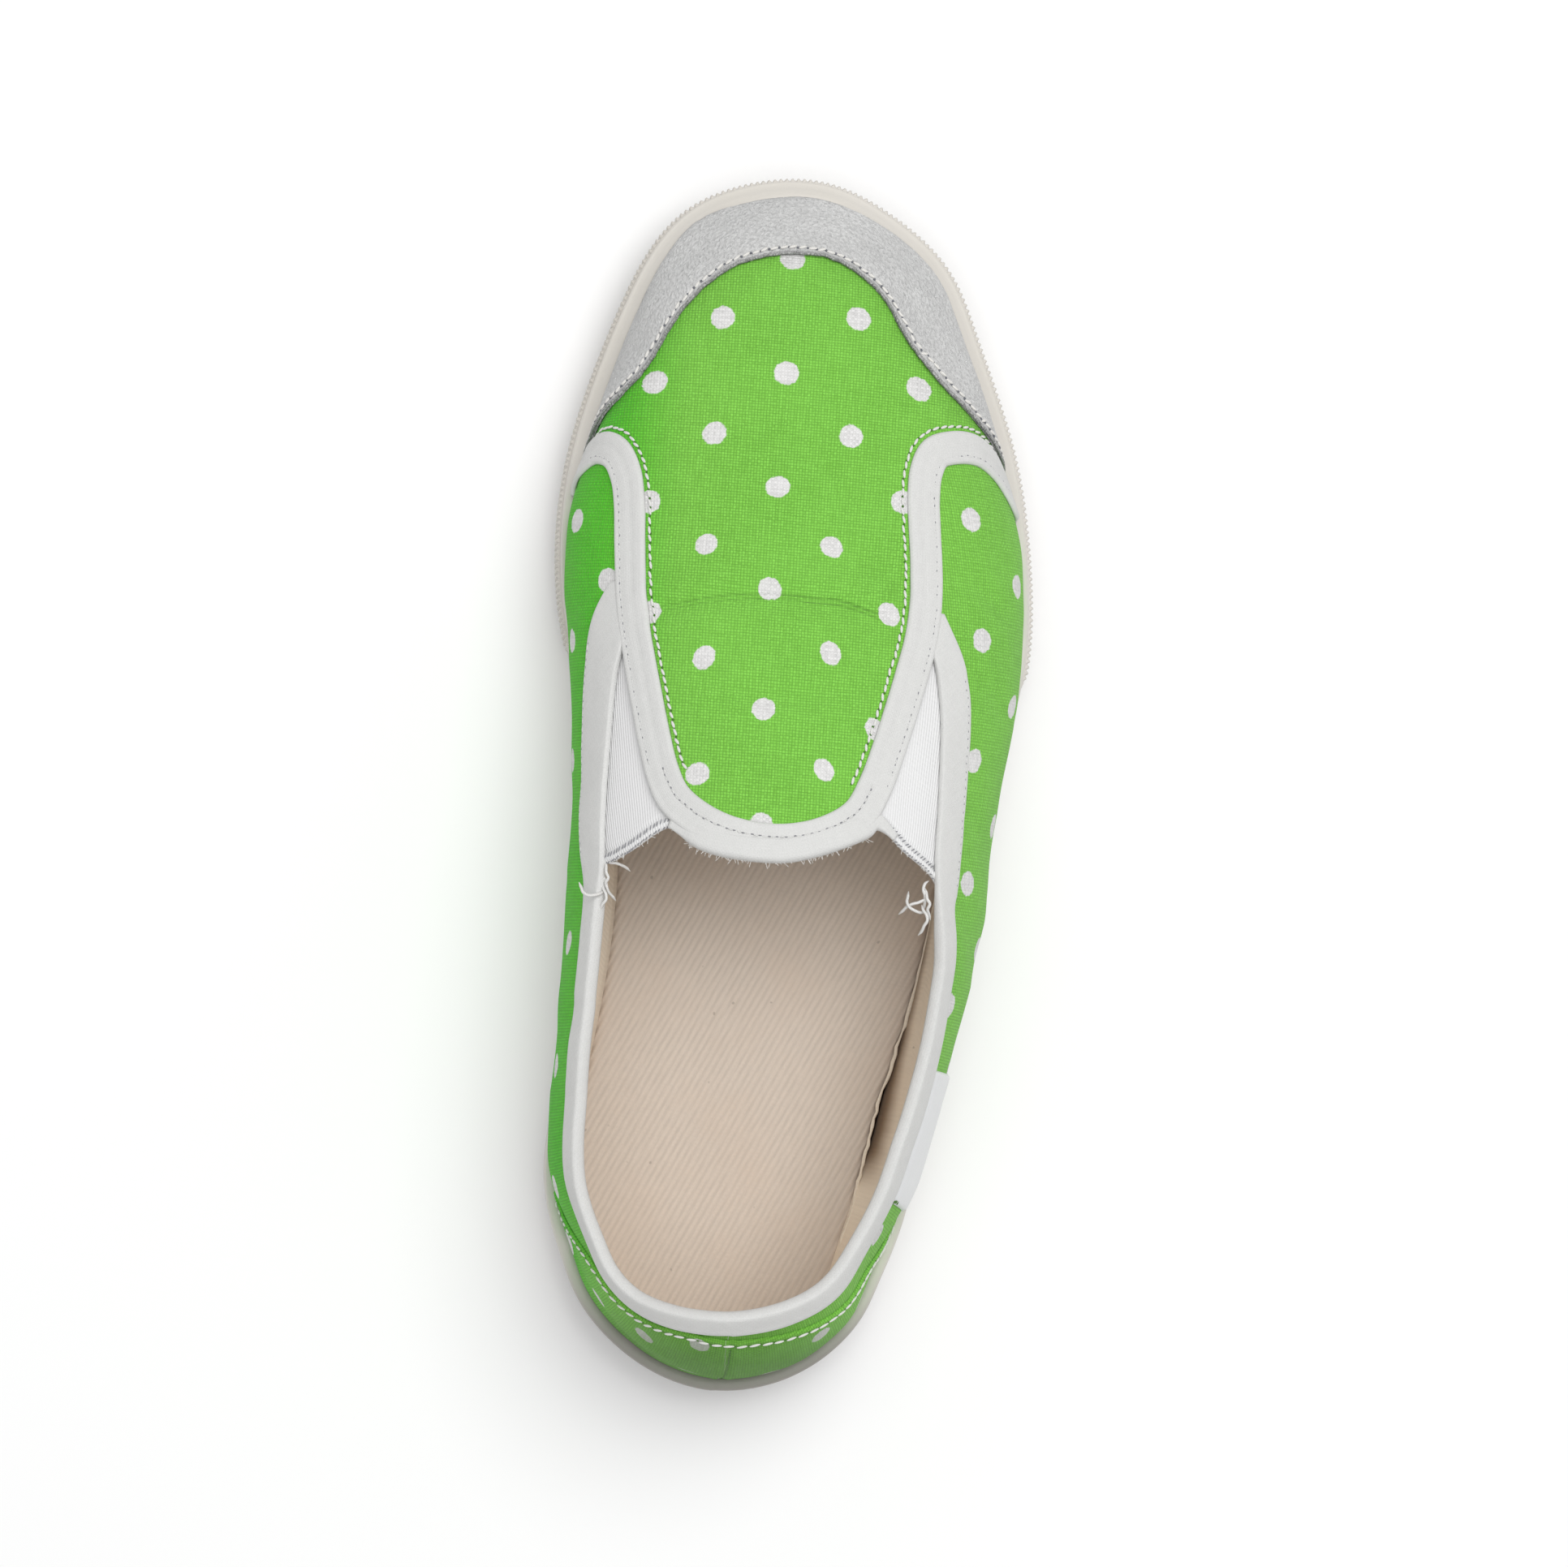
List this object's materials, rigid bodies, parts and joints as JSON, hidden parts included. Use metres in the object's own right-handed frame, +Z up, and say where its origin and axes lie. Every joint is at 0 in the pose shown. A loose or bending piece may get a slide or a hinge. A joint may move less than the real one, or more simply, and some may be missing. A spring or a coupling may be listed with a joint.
{
  "type": "slip-on shoe",
  "caption": "Right low slip-on canvas shoe with a toe cap, side elastics, a bound collar and a cupped rubber sole, open for the foot at the collar.",
  "frame": {"origin": "middle of the shoe's box, on the floor under the sole", "axes": "+Y from the heel to the toe, +X to the outer side of the right foot, +Z up"},
  "size_m": [0.0986, 0.246, 0.0797],
  "materials": {
    "rubber": "smooth satin, cream",
    "bumper_rubber": "finely ribbed matte, cream",
    "dotted_canvas": "plain weave cotton, green with white dots",
    "toe_suede": "suede nap, light grey",
    "tape": "woven cotton tape, white, stitched",
    "elastic": "ribbed elastic, white",
    "insole_twill": "diagonal twill, beige"
  },
  "bodies": {
    "root": {"outsole": "rubber", "foxing": "rubber", "toe_bumper": "bumper_rubber", "insole": "insole_twill", "upper": "dotted_canvas", "toe_cap": "toe_suede", "vamp_band": "tape", "collar_binding": "tape", "heel_counter": "dotted_canvas", "gore_medial": "elastic", "gore_lateral": "elastic", "side_tab": "tape"}
  },
  "joints": []
}
